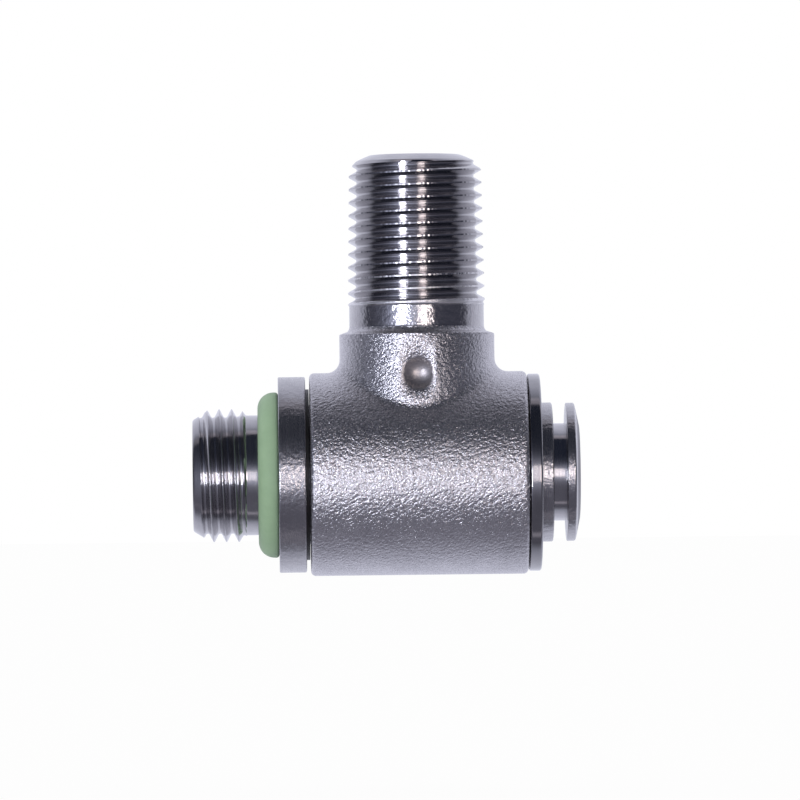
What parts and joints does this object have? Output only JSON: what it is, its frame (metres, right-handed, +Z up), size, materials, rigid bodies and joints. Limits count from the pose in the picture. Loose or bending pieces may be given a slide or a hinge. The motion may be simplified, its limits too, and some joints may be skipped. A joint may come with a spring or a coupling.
{
  "type": "rotary union",
  "caption": "Swivel elbow fitting: a hollow threaded stem with a green face seal, a forged body that turns on it with a threaded branch, and a push-in tube collet.",
  "frame": {"origin": "on the stem's axis, at the inner end of the port thread, next to the relief neck", "axes": "+X along the stem from the port thread to the push-in tube end, +Z up along the branch at rest"},
  "size_m": [0.028, 0.0148, 0.0305],
  "materials": {
    "nickel_turned": "satin",
    "nickel_blasted": "blasted",
    "nickel_polished": "mirror",
    "green_seal": "matte",
    "black_seal": "matte",
    "dark_plastic": "matte"
  },
  "bodies": {
    "stem_assembly": {"stem": "nickel_turned", "port_seal": "green_seal", "front_thrust_washer": "dark_plastic", "front_stem_seal": "black_seal", "rear_thrust_washer": "dark_plastic", "retaining_disc": "nickel_polished", "collet_guide_ring": "nickel_turned", "tube_seal": "black_seal", "seal_support_ring": "dark_plastic"},
    "swivel": {"swivel_body": "nickel_blasted", "rear_stem_seal": "black_seal"},
    "collet": {"release_collet": "nickel_polished"}
  },
  "joints": [
    {"name": "swivel_turn", "type": "hinge", "parent": "stem_assembly", "child": "swivel", "pos_m": [0.0125, 0, 0], "axis": [1, 0, 0], "continuous": true},
    {"name": "collet_press", "type": "slide", "parent": "stem_assembly", "child": "collet", "axis": [-1, 0, 0], "range_m": [0, 0.00096]}
  ]
}
